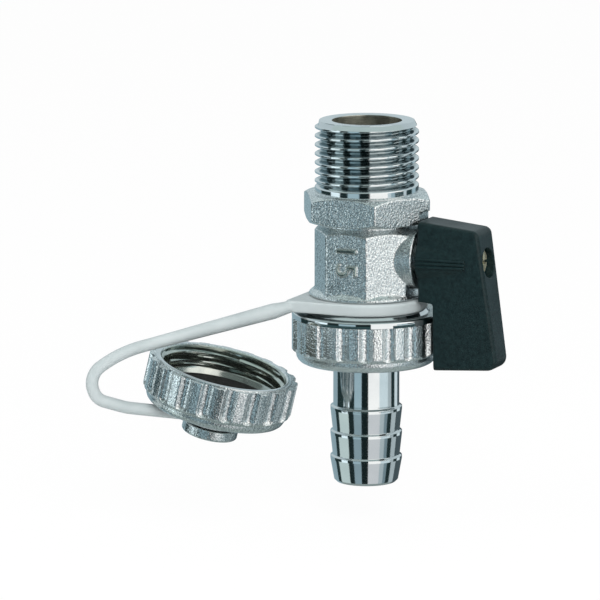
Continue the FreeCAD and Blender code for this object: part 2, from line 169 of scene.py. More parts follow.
# Cap, with heights from its mouth or its base, and its button
CAP_RIM_R = 14.0
CAP_RIM_HEIGHT = 0.3
CAP_HEIGHT = 9.35
CAP_BOTTOM_R = 1.5
CAP_FLUTE_END_R = 1.2
CAP_FLOOR = 2.0
CAP_GASKET_TOP = 3.1
CAP_RUN_OUT = 1.3
CAP_RUN_OUT_INSET = 0.6
CAP_LIP_CHAMFER = 0.35
CAP_LAND_ANGLE = 5.0
BUTTON_NECK_R = 3.6
BUTTON_NECK_LENGTH = 2.9
BUTTON_HEAD_R = 5.65
BUTTON_HEAD_HEIGHT = 2.1
BUTTON_EDGE = 0.5

# Ridges moulded along the front of the lever's hub
HUB_X = 12.9
HUB_AXIS_HEIGHT = -12.7
HUB_ROOT_R = 5.3
HUB_TIP_R = 4.25
HUB_LENGTH = 10.2
RIDGE_R = 0.34
RIDGE_DOME_R = RIDGE_R * 0.98  # leaves the ends a small flat
RIDGE_SUNK = 0.05
RIDGE_TURNS = [-7.0, 2.0, 11.0]

# Hose tail
TAIL_COLLAR_R = 11.9
TAIL_COLLAR_TOP = -31.45
TAIL_COLLAR_BOTTOM = -33.25
TAIL_COLLAR_EDGE = 0.25
TAIL_SHANK_R = 6.7
TAIL_BORE_R = 5.0
TAIL_END = -59.4
TAIL_END_R = 6.5
TAIL_END_CHAMFER = 0.5
BARB_R = 7.27
BARB_EDGE = 0.12
BARB_CRESTS = [-43.8, -48.9, -54.0]
BARB_SHOULDER = 0.25
BARB_LAND = 0.6
BARB_ROOT_R = 6.8

# The middle of a noise, over which a colour or a roughness runs
NOISE_LOW = 0.3
NOISE_HIGH = 0.7

# Floor and plain light
FLOOR_GAP = 8.0
FLOOR_HALF = 3000.0
FLOOR_PAPER = (0.9, 0.9, 0.9, 1.0)
FLOOR_GLOW = 0.95
WORLD_LIGHT = 0.6
PURE_WHITE = (1.0, 1.0, 1.0, 1.0)

# Lamps: azimuth to the right of the front, elevation, distance and size in metres, power in watts
LAMPS = {
    "key": (38, 30, 1.0, 0.6, 9.0),
    "fill": (-40, 30, 1.2, 0.8, 5.0),
}

# Places of the cards, in metres, and their tones
CARD_STEP_ANGLE = 4
CARD_LEAST_STEPS = 4
CARD_RADIUS = 0.4
SEAM_RADIUS = 0.395
CARD_LOW = -0.36
CARD_BAND = -0.15
CARD_SEAM_LOW = -0.1005
CARD_SEAM_HIGH = -0.093
CARD_SPLIT = -0.072
CARD_HORIZON = 0.02
CARD_SKY = 0.1
CARD_HIGH = 0.42
COOL = (0.64, 0.89, 1.0, 1.0)
TEAL = (0.50, 0.95, 1.0, 1.0)
PALE = (0.81, 0.95, 1.0, 1.0)
GREY = (0.83, 1.0, 0.99, 1.0)
MIST = (0.94, 0.97, 1.0, 1.0)
WHITE = (1.0, 0.995, 0.98, 1.0)
# Cards that stand round the object and show in the metal only: from and to, right of the camera,
# low and high edge, brightness, tone
CARDS = {
    "strip_left": (-86, -62, CARD_BAND, CARD_SKY, 1.3, PALE),
    "strip_left_low": (-103, -62, CARD_LOW, CARD_BAND, 0.75, GREY),
    "flag_left": (-62, -43, CARD_LOW, CARD_SKY, 0.03, TEAL),
    "grey_left": (-43, -17, CARD_BAND, CARD_SKY, 0.64, COOL),
    "grey_left_low": (-43, -17, CARD_LOW, CARD_BAND, 0.45, COOL),
    "flag_camera": (-17, 6, CARD_LOW, CARD_SKY, 0.02, TEAL),
    "sky_left": (-86, 6, CARD_SKY, CARD_HIGH, 0.2, GREY),
    "softbox": (6, 46, CARD_BAND, CARD_HIGH, 1.22, WHITE),
    "softbox_edge": (46, 54, CARD_SPLIT, CARD_HORIZON, 0.8, PALE),
    "softbox_fade": (54, 64, CARD_SPLIT, CARD_HORIZON, 0.55, COOL),
    "softbox_sky": (46, 88, CARD_HORIZON, CARD_HIGH, 1.35, WHITE),
    "flag_right": (64, 88, CARD_SPLIT, CARD_HORIZON, 0.08, TEAL),
    "strip_right": (88, 97, CARD_SPLIT, CARD_HORIZON, 0.8, PALE),
    "flag_far_right": (97, 118, CARD_SPLIT, CARD_HORIZON, 0.06, TEAL),
    "strip_far_right": (118, 136, CARD_SPLIT, CARD_HORIZON, 0.6, COOL),
    "softbox_wide": (46, 80, CARD_BAND, CARD_SPLIT, 0.95, PALE),
    "softbox_wide_edge": (80, 96, CARD_BAND, CARD_SPLIT, 0.6, PALE),
    "flag_wide_right": (96, 115, CARD_BAND, CARD_SPLIT, 0.04, TEAL),
    "strip_wide_right": (115, 136, CARD_BAND, CARD_SPLIT, 0.9, PALE),
    "softbox_low": (6, 46, CARD_LOW, CARD_BAND, 0.78, MIST),
    "softbox_low_edge": (46, 62, CARD_LOW, CARD_BAND, 0.62, PALE),
    "softbox_low_fade": (62, 74, CARD_LOW, CARD_BAND, 0.35, COOL),
    "flag_low_right": (74, 91, CARD_LOW, CARD_BAND, 0.04, TEAL),
    "strip_low_right": (91, 114, CARD_LOW, CARD_BAND, 0.6, PALE),
    "grey_low_right": (114, 136, CARD_LOW, CARD_BAND, 0.12, COOL),
    "grey_back_right": (136, 180, CARD_LOW, CARD_HORIZON, 0.12, COOL),
    "grey_back_left": (-180, -120, CARD_LOW, CARD_HORIZON, 0.5, COOL),
    "flag_far_left": (-120, -86, CARD_BAND, CARD_HORIZON, 0.04, TEAL),
    "flag_far_left_low": (-120, -103, CARD_LOW, CARD_BAND, 0.04, TEAL),
    "back_sky": (88, 274, CARD_HORIZON, CARD_HIGH, 0.7, PALE),
}
# Dark strips before them, at the height that the nut's ring mirrors
SEAMS = {
    "seam_left": (-86, 6, CARD_SEAM_LOW, CARD_SEAM_HIGH, 0.09, TEAL),
    "seam_right": (40, 100, CARD_SEAM_LOW, CARD_SEAM_HIGH, 0.09, TEAL),
}
CEILING_LEVEL = 0.66
GROUND_LEVEL = 0.36


def rounded(points):
    """Outline points from (a, b) or (a, b, corner radius) corners, with arcs at the corners."""
    corners = [(Vector(p[:2]), p[2] if len(p) > 2 else 0.0) for p in points]
    result = []
    for i, (point, radius) in enumerate(corners):
        if radius == 0:
            result.append(point)
            continue
        back = (corners[i - 1][0] - point).normalized()
        ahead = (corners[(i + 1) % len(corners)][0] - point).normalized()
        half_angle = back.angle(ahead) / 2
        centre = point + (back + ahead).normalized() * (radius / math.sin(half_angle))
        start = point + back * (radius / math.tan(half_angle)) - centre
        sweep = math.pi - 2 * half_angle
        side = 1 if back.cross(start) > 0 else -1
        for k in range(ARC_STEPS + 1):
            turn = Matrix.Rotation(side * sweep * k / ARC_STEPS, 2)
            result.append(centre + turn @ start)
    return result


def spread(points, step):
    """Adds points along the upright runs of a closed profile, at most step apart."""
    result = []
    for i, point in enumerate(points):
        following = points[(i + 1) % len(points)]
        run = following - point
        count = max(1, math.ceil(abs(run.y) / step)) if abs(run.y) > abs(run.x) else 1
        result += [point + run * (k / count) for k in range(count)]
    return result


def new_object(name, data):
    """An object with its data, linked to the scene."""
    made = bpy.data.objects.new(name, data)
    bpy.context.scene.collection.objects.link(made)
    return made


def new_piece(name, points, faces):
    """A smooth mesh object from points in millimetres."""
    mesh = bpy.data.meshes.new(name)
    mesh.from_pydata((np.asarray(points) * MM).tolist(), [], faces)
    shaped = bmesh.new()
    shaped.from_mesh(mesh)
    bmesh.ops.remove_doubles(shaped, verts=shaped.verts, dist=WELD * MM)
    bmesh.ops.recalc_face_normals(shaped, faces=shaped.faces)
    shaped.to_mesh(mesh)
    shaped.free()
    soften(mesh, CREASE_ANGLE)
    return new_object(name, mesh)


def soften(mesh, crease_angle):
    """Smooth shading, kept crisp where faces meet at a clear angle."""
    mesh.shade_smooth()
    mesh.set_sharp_from_angle(angle=math.radians(crease_angle))


def lathe(name, profile, steps, form=None):
    """A closed mesh turned about Z; form(angle, radius, height) may move the radii."""
    count = len(profile)
    angle, radius = np.meshgrid(np.arange(steps) * 2 * math.pi / steps, [p.x for p in profile])
    height = np.repeat(np.array([p.y for p in profile])[:, None], steps, axis=1)
    if form is not None:
        radius = form(angle, radius, height)
    points = np.stack([radius * np.cos(angle), radius * np.sin(angle), height], axis=-1).reshape(-1, 3)
    faces = []
    for i in range(count):
        low = i * steps
        high = (i + 1) % count * steps
        for k in range(steps):
            along = (k + 1) % steps
            faces.append((low + k, low + along, high + along, high + k))
    return new_piece(name, points, faces)


def smooth_ramp(value):
    """0 below 0, 1 above 1 and an easy curve between."""
    value = np.clip(value, 0, 1)
    return value * value * (3 - 2 * value)


def thread_wave(angle, height):
    """1 on the crest of a right-hand pipe thread and 0 at its root."""
    phase = (height / PITCH - (angle - math.radians(THREAD_START_ANGLE)) / (2 * math.pi)) % 1.0
    flank = np.clip((np.abs(2 * phase - 1) - THREAD_FLAT) / (1 - 2 * THREAD_FLAT), 0, 1)
    return flank - THREAD_EASE * np.sin(2 * math.pi * flank) / (2 * math.pi)


def inlet_form(angle, radius, height):
    """Cuts the inlet thread, which runs out above the hexagon."""
    ramp = smooth_ramp((height - RUN_OUT_START) / RUN_OUT_LENGTH)
    cut = INLET_R - THREAD_DEPTH * (1 - thread_wave(angle, height)) * ramp
    return np.where(radius > INLET_WALL_R, np.minimum(radius, cut), radius)


def outlet_form(angle, radius, height):
    """Cuts the outlet thread about its pitch line."""
    threaded = np.abs(radius - OUTLET_R) < SAME_R
    ramp = smooth_ramp((NECK_BOTTOM - OUTLET_CHAMFER - height) / OUTLET_RUN_OUT)
    wave = THREAD_DEPTH * (thread_wave(angle, height) - 0.5) * ramp
    return np.where(threaded, radius + wave, radius)


def female_wave(angle, radius, height, top, bottom):
    """The thread inside a nut or a cap, fading out at its mouth and its floor."""
    threaded = np.abs(radius - OUTLET_FEMALE_R) < SAME_R
    mouth = smooth_ramp((top - height) / FEMALE_RUN_OUT)
    floor = smooth_ramp((height - bottom) / FEMALE_RUN_OUT)
    wave = THREAD_DEPTH * (0.5 - thread_wave(angle, height)) * mouth * floor
    return np.where(threaded, radius + wave, radius)


def grip_form(rib_top, flute_top, land_angle, end_r, thread_top, thread_bottom):
    """Round flutes between ribs outside, a thread inside."""
    pitch = 2 * math.pi / RIB_COUNT
    low = rib_top - RIB_LENGTH - FLUTE_OVERRUN
    centre_r = FLUTE_FLOOR_R + FLUTE_R

    def form(angle, radius, height):
        from_land = (angle - math.radians(land_angle)) / pitch
        aside = centre_r * np.sin((from_land % 1.0 - 0.5) * pitch)
        into_end = np.clip(1 - (height - low) / end_r, 0, 1)
        reach = FLUTE_R - end_r * (1 - np.sqrt(1 - into_end ** 2))
        floor = centre_r - np.sqrt(np.maximum(reach ** 2 - aside ** 2, 0))
        cut = (height > low) & (height < flute_top) & (radius > GRIP_WALL_R)
        fluted = np.where(cut & (np.abs(aside) < reach), soft_lower(radius, floor), radius)
        return female_wave(angle, fluted, height, thread_top, thread_bottom)

    return form


def soft_lower(a, b):
    """The lower of two heights, with the edge between them rounded off."""
    near = np.maximum(FLUTE_EDGE - np.abs(a - b), 0) / FLUTE_EDGE
    return np.minimum(a, b) - near ** 2 * FLUTE_EDGE / 4


def grip_profile(rib_top, bottom, bottom_r):
    """The outside of the nut or the cap below its rim."""
    rib_low = rib_top - RIB_LENGTH
    return [
        (RIB_R, rib_top, RIB_TOP_EDGE),
        (RIB_R, rib_low, RIB_LOW_EDGE),
        (BAND_R, rib_low - RIB_SHOULDER, BAND_EDGE),
        (BAND_R, bottom, bottom_r),
    ]


def inlet_piece():
    """The inlet's threaded wall, from inside the hexagon to its chamfered end."""
    profile = rounded([
        (INLET_R, INLET_FOOT),
        (INLET_R, INLET_SHOULDER, FINE_EDGE),
        (INLET_R - INLET_CHAMFER, INLET_TOP, EDGE),
        (INLET_BORE_R, INLET_TOP, EDGE),
        (INLET_BORE_R, INLET_FOOT),
    ])
    return lathe("inlet_thread", spread(profile, THREAD_STEP), ROUND_STEPS, inlet_form)


def outlet_piece():
    """The neck that carries the strap's ring, and the outlet thread under it."""
    profile = rounded([
        (NECK_R, FORGING_BOTTOM),
        (NECK_R, NECK_BOTTOM),
        (OUTLET_R - OUTLET_CHAMFER, NECK_BOTTOM),
        (OUTLET_R, NECK_BOTTOM - OUTLET_CHAMFER),
        (OUTLET_R, OUTLET_END + OUTLET_CHAMFER),
        (OUTLET_R - OUTLET_CHAMFER, OUTLET_END),
        (OUTLET_BORE_R, OUTLET_END, FINE_EDGE),
        (OUTLET_BORE_R, FORGING_BOTTOM),
    ])
    return lathe("outlet_thread", spread(profile, THREAD_STEP), ROUND_STEPS, outlet_form)


def nut_piece():
    """The union nut: a bright ring over fluted ribs, a thread inside, a floor that holds the tail."""
    rib_top = NUT_TOP - NUT_RING_HEIGHT
    profile = [
        (OUTLET_FEMALE_R, NUT_TOP, ROUND_EDGE),
        (NUT_RING_R, NUT_TOP, NUT_RING_ROUND),
        (NUT_RING_R, rib_top + NUT_SEAM_HEIGHT),
        (NUT_RING_R - NUT_SEAM_DEPTH, rib_top),
    ]
    profile += grip_profile(rib_top, NUT_BOTTOM, NUT_BOTTOM_R)
    profile += [
        (NUT_HOLE_R, NUT_BOTTOM, SOFT_EDGE),
        (NUT_HOLE_R, NUT_FLOOR),
        (OUTLET_FEMALE_R, NUT_FLOOR),
    ]
    flute_top = rib_top - NUT_FLUTE_GAP
    thread_top = NUT_TOP - NUT_LEAD_IN
    form = grip_form(rib_top, flute_top, NUT_LAND_ANGLE, NUT_FLUTE_END_R, thread_top, NUT_FLOOR)
    return lathe("union_nut_ribbed", spread(rounded(profile), WALL_STEP), RIB_COUNT * RIB_STEPS, form)


def cap_piece():
    """The blanking cap, made about Z with its mouth at 0, then put where it hangs."""
    neck_end = -CAP_HEIGHT - BUTTON_NECK_LENGTH
    head_end = neck_end - BUTTON_HEAD_HEIGHT
    floor = CAP_FLOOR - CAP_HEIGHT
    thread_end = CAP_GASKET_TOP - CAP_HEIGHT + CAP_RUN_OUT
    profile = [
        (OUTLET_FEMALE_R + CAP_LIP_CHAMFER, 0, FINE_EDGE),
        (CAP_RIM_R, 0, SOFT_EDGE),
        (CAP_RIM_R, -CAP_RIM_HEIGHT),
    ]
    profile += grip_profile(-CAP_RIM_HEIGHT, -CAP_HEIGHT, CAP_BOTTOM_R)
    profile += [
        (BUTTON_NECK_R, -CAP_HEIGHT, ROUND_EDGE),
        (BUTTON_NECK_R, neck_end, SOFT_EDGE),
        (BUTTON_HEAD_R, neck_end, SOFT_EDGE),
        (BUTTON_HEAD_R, head_end, BUTTON_EDGE),
        (0, head_end),
        (0, floor),
        (OUTLET_FEMALE_R - CAP_RUN_OUT_INSET, floor),
        (OUTLET_FEMALE_R - CAP_RUN_OUT_INSET, thread_end - CAP_RUN_OUT),
        (OUTLET_FEMALE_R, thread_end),
        (OUTLET_FEMALE_R, -CAP_LIP_CHAMFER, FINE_EDGE),
    ]
    form = grip_form(-CAP_RIM_HEIGHT, 0, CAP_LAND_ANGLE, CAP_FLUTE_END_R, -CAP_LIP_CHAMFER, thread_end)
    piece = lathe("cap_ribbed", spread(rounded(profile), WALL_STEP), RIB_COUNT * RIB_STEPS, form)
    piece.matrix_world = cap_place()
    return piece


def cap_place():
    """The cap's own frame, from its joint: the axis of its spin, with the mouth above the pivot."""
    spin = next(j for j in frame["joints"] if j["name"] == "cap_spin")
    axis = Vector(spin["axis"]).normalized()
    mouth = Vector(spin["pos_m"]) + axis * (CAP_HEIGHT + BUTTON_NECK_LENGTH / 2) * MM
    return Matrix.Translation(mouth) @ Vector((0, 0, 1)).rotation_difference(axis).to_matrix().to_4x4()


def tail_piece():
    """The hose tail: the collar that the nut holds, the shank and the barbs."""
    profile = [
        (TAIL_BORE_R, TAIL_COLLAR_TOP, SOFT_EDGE),
        (TAIL_COLLAR_R, TAIL_COLLAR_TOP, TAIL_COLLAR_EDGE),
        (TAIL_COLLAR_R, TAIL_COLLAR_BOTTOM, FINE_EDGE),
        (TAIL_SHANK_R, TAIL_COLLAR_BOTTOM, ROUND_EDGE),
    ]
    root_r = TAIL_SHANK_R
    for crest in BARB_CRESTS:
        profile += [
            (root_r, crest + BARB_SHOULDER, BARB_EDGE),
            (BARB_R, crest, BARB_EDGE),
            (BARB_R, crest - BARB_LAND, ROUND_EDGE),
        ]
        root_r = BARB_ROOT_R
    profile += [
        (TAIL_END_R, TAIL_END + TAIL_END_CHAMFER, SOFT_EDGE),
        (TAIL_END_R - TAIL_END_CHAMFER, TAIL_END, EDGE),
        (TAIL_BORE_R, TAIL_END, SOFT_EDGE),
    ]
    return lathe("hose_tail_turned", spread(rounded(profile), TAIL_STEP), ROUND_STEPS)


def hub_ridges():
    """Round ridges along the hub's cone, half sunk in it; their turns are degrees below its front."""
    joined = bmesh.new()
    start = Vector((HUB_X, 0, HUB_AXIS_HEIGHT))
    end = Vector((HUB_X + HUB_LENGTH, 0, HUB_AXIS_HEIGHT))
    for turn in RIDGE_TURNS:
        across = Vector((0, -math.cos(math.radians(turn)), -math.sin(math.radians(turn))))
        root = start + across * (HUB_ROOT_R - RIDGE_SUNK)
        run = end + across * (HUB_TIP_R - RIDGE_SUNK) - root
        profile = rounded([
            (0, 0),
            (RIDGE_R, 0, RIDGE_DOME_R),
            (RIDGE_R, run.length, RIDGE_DOME_R),
            (0, run.length),
        ])
        ridge = lathe("ridge", profile, RIDGE_STEPS)
        aim = run.to_track_quat("Z", "Y").to_matrix().to_4x4()
        ridge.data.transform(Matrix.Translation(root * MM) @ aim)
        joined.from_mesh(ridge.data)
        bpy.data.objects.remove(ridge)
    mesh = bpy.data.meshes.new("hub_ridges")
    joined.to_mesh(mesh)
    joined.free()
    soften(mesh, CREASE_ANGLE)
    return new_object("hub_ridges", mesh)


def moulded_copy(name, node, smoothing, keep, low=None, high=None, added=None):
    """A copy of a solid with soft edges, cropped between heights, with a mesh added if given."""
    shaped = bmesh.new()
    shaped.from_mesh(frame["nodes"][node].data)
    bmesh.ops.remove_doubles(shaped, verts=shaped.verts, dist=WELD * MM)
    for height, side in ((low, -1), (high, 1)):
        if height is not None:
            crop(shaped, height, side)
    if added is not None:
        shaped.from_mesh(added)
    mesh = bpy.data.meshes.new(name)
    shaped.to_mesh(mesh)
    shaped.free()
    piece = new_object(name, mesh)
    remesh = piece.modifiers.new("remesh", "REMESH")
    remesh.mode = "VOXEL"
    remesh.voxel_size = VOXEL * MM
    relax = piece.modifiers.new("relax", "SMOOTH")
    relax.factor = RELAX
    relax.iterations = smoothing
    thin = piece.modifiers.new("thin", "DECIMATE")
    thin.ratio = keep
    settled = bpy.data.meshes.new_from_object(piece.evaluated_get(bpy.context.evaluated_depsgraph_get()))
    piece.modifiers.clear()
    piece.data = settled
    piece.data.materials.clear()
    piece.data.shade_smooth()
    return piece


def size_mark():
    """A plain number that stands off the front flat of the body and reads downwards."""
    curve = bpy.data.curves.new("size_mark", "FONT")
    curve.body = MARK_TEXT
    curve.size = MARK_SIZE * MM
    curve.space_character = MARK_SPACING
    curve.align_x = "CENTER"
    curve.align_y = "CENTER"
    curve.extrude = MARK_RELIEF * MM
    curve.resolution_u = MARK_STEPS
    lettering = bpy.data.objects.new("size_mark", curve)
    mesh = bpy.data.meshes.new_from_object(lettering)
    upright = Matrix.Rotation(math.radians(90), 4, "X")
    downwards = Matrix.Rotation(math.radians(-90), 4, "Z")
    place = Matrix.Translation(Vector((0, MARK_FACE_Y, MARK_HEIGHT)) * MM)
    mesh.transform(place @ upright @ downwards)
    bpy.data.objects.remove(lettering)
    return mesh


def crop(shaped, height, side):
    """Cuts away what lies beyond a level, on the side given, and closes the cut."""
    geometry = list(shaped.verts) + list(shaped.edges) + list(shaped.faces)
    cut = bmesh.ops.bisect_plane(
        shaped,
        geom=geometry,
        plane_co=(0, 0, height * MM),
        plane_no=(0, 0, side),
        clear_outer=True,
    )
    rim = [e for e in cut["geom_cut"] if isinstance(e, bmesh.types.BMEdge)]
    bmesh.ops.triangle_fill(shaped, edges=rim, use_beauty=True)


def new_material(name, **sockets):
    """A principled material; sockets are set by their names with spaces as underscores."""
    material = bpy.data.materials.new(name)
    material.use_nodes = True
    shader = material.node_tree.nodes["Principled BSDF"]
    for socket, value in sockets.items():
        shader.inputs[socket.replace("_", " ")].default_value = value
    return material, material.node_tree, shader


def feed(tree, target, value):
    """Links an input to another node's output, or sets it where the value is a constant."""
    if isinstance(value, bpy.types.NodeSocket):
        tree.links.new(value, target)
    else:
        target.default_value = value


def add_node(tree, kind, **sockets):
    """A node of that kind, with its inputs fed by their names with spaces as underscores."""
    node = tree.nodes.new("ShaderNode" + kind)
    for socket, value in sockets.items():
        feed(tree, node.inputs[socket.replace("_", " ")], value)
    return node


def calculate(tree, operation, first, second):
    """The result of an operation on two values, each a constant or another node's output."""
    node = add_node(tree, "Math")
    node.operation = operation
    feed(tree, node.inputs[0], first)
    feed(tree, node.inputs[1], second)
    return node.outputs[0]


def bare_tree(owner):
    """The emptied node tree of a material or a world."""
    owner.use_nodes = True
    owner.node_tree.nodes.clear()
    return owner.node_tree


def mix_to_output(tree, kind, share, first, second):
    """Sends first to the output, or second as far as share nears 1."""
    mix = add_node(tree, "MixShader", Fac=share)
    tree.links.new(first.outputs[0], mix.inputs[1])
    tree.links.new(second.outputs[0], mix.inputs[2])
    add_node(tree, "Output" + kind, Surface=mix.outputs[0])


def object_point(tree):
    """Where a point lies in its piece's own frame, in metres."""
    return add_node(tree, "TexCoord").outputs["Object"]


def noise(tree, vector, size, detail=2.0, roughness=0.5):
    """Noise whose features are about size millimetres across."""
    scale = 1 / (size * MM)
    node = add_node(tree, "TexNoise", Vector=vector, Scale=scale, Detail=detail, Roughness=roughness)
    return node.outputs["Fac"]


def roughen(tree, shader, value, low, high):
    """Runs the roughness from low to high over the middle of a value's range."""
    node = add_node(
        tree,
        "MapRange",
        Value=value,
        From_Min=NOISE_LOW,
        From_Max=NOISE_HIGH,
        To_Min=low,
        To_Max=high,
    )
    tree.links.new(node.outputs["Result"], shader.inputs["Roughness"])


def tint(tree, shader, value, dark, pale):
    """Runs the colour from dark to pale over the middle of a value's range."""
    ramp = tree.nodes.new("ShaderNodeValToRGB")
    stops = zip(ramp.color_ramp.elements, (NOISE_LOW, NOISE_HIGH), (dark, pale))
    for stop, position, colour in stops:
        stop.position = position
        stop.color = (*colour, 1)
    tree.links.new(value, ramp.inputs["Fac"])
    tree.links.new(ramp.outputs["Color"], shader.inputs["Base Color"])


def bump(tree, shader, height, depth, strength):
    """Relief of about depth millimetres."""
    node = add_node(tree, "Bump", Height=height, Distance=depth * MM, Strength=strength)
    tree.links.new(node.outputs["Normal"], shader.inputs["Normal"])


def axis_distance(tree):
    """How far a point lies from Z, in metres."""
    parts = add_node(tree, "SeparateXYZ", Vector=object_point(tree))
    flat = add_node(tree, "CombineXYZ", X=parts.outputs["X"], Y=parts.outputs["Y"])
    reach = add_node(tree, "VectorMath", Vector=flat.outputs["Vector"])
    reach.operation = "LENGTH"
    return reach.outputs["Value"]


def turning_marks(tree):
    """Fine rings about Z, on walls and on end faces alike."""
    parts = add_node(tree, "SeparateXYZ", Vector=object_point(tree))
    along = add_node(tree, "CombineXYZ", X=axis_distance(tree), Z=parts.outputs["Z"])
    return noise(tree, along.outputs["Vector"], size=0.12, detail=3.0, roughness=0.7)


def blasted_nickel(name, grain_depth, shade):
    """Nickel over a blasted forging: a grain of a depth in millimetres, from a shade to bright."""
    material, tree, shader = new_material(name, Metallic=1.0)
    point = object_point(tree)
    grain = noise(tree, point, size=0.36, detail=1.5)
    speck = noise(tree, point, size=0.26, detail=1.0)
    cloud = noise(tree, point, size=6.0)
    tint(tree, shader, speck, dark=shade, pale=(0.98, 1.0, 0.99))
    roughen(tree, shader, cloud, low=0.2, high=0.28)
    bump(tree, shader, grain, depth=grain_depth, strength=1.0)
    return material


def turned_nickel(name, mark_depth, dullness):
    """Bright nickel with turning marks of a depth in millimetres, up to a roughness."""
    material, tree, shader = new_material(name, Metallic=1.0)
    marks = turning_marks(tree)
    cloud = noise(tree, object_point(tree), size=5.0)
    tint(tree, shader, cloud, dark=(0.66, 0.69, 0.70), pale=(0.73, 0.755, 0.76))
    roughen(tree, shader, marks, low=dullness * 0.4, high=dullness)
    bump(tree, shader, marks, depth=mark_depth, strength=0.5)
    return material


def threaded_nickel():
    """Cut thread: bright crests, and roots made dark with painted shade."""
    material, tree, shader = new_material("threaded_nickel", Metallic=1.0)
    depth = add_node(
        tree,
        "MapRange",
        Value=axis_distance(tree),
        From_Min=(INLET_R - THREAD_DEPTH) * MM,
        From_Max=INLET_R * MM,
    )
    marks = turning_marks(tree)
    # Painted shade: the colour runs darker towards the thread's roots
    tint(tree, shader, depth.outputs["Result"], dark=(0.33, 0.38, 0.39), pale=(0.72, 0.75, 0.76))
    roughen(tree, shader, marks, low=0.05, high=0.14)
    bump(tree, shader, marks, depth=0.006, strength=0.5)
    return material


def inside_nickel(name, metal, dark, pale, dullness):
    """Darker clouded plating, up to a roughness: in bores and hollows its darkness is partly painted
    shade, and its warm tint the brass under thin plating.
    """
    material, tree, shader = new_material(name, Metallic=metal)
    marks = turning_marks(tree)
    cloud = noise(tree, object_point(tree), size=3.0, detail=3.0)
    tint(tree, shader, cloud, dark, pale)
    roughen(tree, shader, marks, low=dullness * 0.5, high=dullness)
    bump(tree, shader, marks, depth=0.012, strength=0.6)
    return material


def lever_plastic():
    """Near-black moulded plastic with a fine satin texture."""
    material, tree, shader = new_material("lever_plastic", Specular_IOR_Level=0.3)
    point = object_point(tree)
    mottle = noise(tree, point, size=0.9, detail=4.0, roughness=0.8)
    grain = noise(tree, point, size=0.4)
    cloud = noise(tree, point, size=9.0)
    tint(tree, shader, mottle, dark=(0.001, 0.006, 0.007), pale=(0.006, 0.019, 0.020))
    roughen(tree, shader, cloud, low=0.34, high=0.46)
    bump(tree, shader, grain, depth=0.07, strength=0.6)
    return material


def strap_plastic():
    """Milky moulded polymer that light sinks into a little."""
    material, tree, shader = new_material(
        "strap_plastic",
        Subsurface_Weight=0.35,
        Subsurface_Radius=(1.0, 1.0, 1.0),
        Subsurface_Scale=1.2 * MM,
        IOR=1.5,
    )
    point = object_point(tree)
    cloud = noise(tree, point, size=7.0, detail=3.0)
    grain = noise(tree, point, size=0.8)
    tint(tree, shader, cloud, dark=(0.35, 0.395, 0.40), pale=(0.41, 0.455, 0.46))
    roughen(tree, shader, cloud, low=0.32, high=0.42)
    bump(tree, shader, grain, depth=0.02, strength=0.3)
    return material


def seal_rubber():
    """Dull black rubber of the gaskets and the stem seals."""
    material, tree, shader = new_material("seal_rubber", Specular_IOR_Level=0.2)
    point = object_point(tree)
    cloud = noise(tree, point, size=2.0)
    speck = noise(tree, point, size=0.5)
    grain = noise(tree, point, size=0.2)
    tint(tree, shader, cloud, dark=(0.010, 0.010, 0.010), pale=(0.022, 0.022, 0.021))
    roughen(tree, shader, speck, low=0.5, high=0.7)
    bump(tree, shader, grain, depth=0.02, strength=0.4)
    return material


def seat_polymer():
    """White polymer of the ball's seats and the stem's washer, turned."""
    material, tree, shader = new_material("seat_polymer")
    cloud = noise(tree, object_point(tree), size=3.0)
    tint(tree, shader, cloud, dark=(0.74, 0.74, 0.72), pale=(0.82, 0.82, 0.80))
    roughen(tree, shader, turning_marks(tree), low=0.35, high=0.5)
    return material


def screw_steel():
    """Zinc with the pale yellow of a passivated screw."""
    material, tree, shader = new_material("screw_steel", Metallic=0.85)
    point = object_point(tree)
    cloud = noise(tree, point, size=1.2)
    speck = noise(tree, point, size=0.3)
    grain = noise(tree, point, size=0.4)
    tint(tree, shader, cloud, dark=(0.58, 0.56, 0.38), pale=(0.80, 0.78, 0.60))
    roughen(tree, shader, speck, low=0.3, high=0.46)
    bump(tree, shader, grain, depth=0.05, strength=0.6)
    return material


def polished_ball():
    """Bright plating of the ball."""
    material, tree, shader = new_material("polished_ball", Metallic=1.0)
    point = object_point(tree)
    cloud = noise(tree, point, size=4.0)
    speck = noise(tree, point, size=1.0)
    tint(tree, shader, cloud, dark=(0.72, 0.73, 0.74), pale=(0.78, 0.79, 0.80))
    roughen(tree, shader, speck, low=0.05, high=0.12)
    return material


def finish_node(node, material):
    """Puts a material on a solid that stays as it is."""
    data = frame["nodes"][node].data
    data.materials.clear()
    data.materials.append(material)
    soften(data, NODE_CREASE_ANGLE)


def finish_piece(piece, node, body, slot, *materials):
    """Seats a new piece on its body in place of a solid."""
    for material in materials:
        piece.data.materials.append(material)
    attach(piece, body)
    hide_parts(node)


def paint(piece, material, low=-math.inf, high=math.inf, inner=0.0, outer=math.inf):
    """Gives the faces between two heights and two radii another of the piece's materials."""
    index = piece.data.materials.find(material.name)
    for face in piece.data.polygons:
        centre = face.center / MM
        if low < centre.z < high and inner < math.hypot(centre.x, centre.y) < outer:
            face.material_index = index


def paint_mark(piece, material):
    """Gives the raised number another of the piece's materials."""
    index = piece.data.materials.find(material.name)
    for face in piece.data.polygons:
        centre = face.center / MM
        raised = centre.y < MARK_FACE_Y - MARK_RELIEF / 2
        if raised and abs(centre.z - MARK_HEIGHT) < MARK_SIZE:
            face.material_index = index


def direction(azimuth, elevation=0.0):
    """The way out from the object; azimuth runs from its front to the right."""
    a = math.radians(azimuth)
    e = math.radians(elevation)
    return Vector((math.sin(a) * math.cos(e), -math.cos(a) * math.cos(e), math.sin(e)))


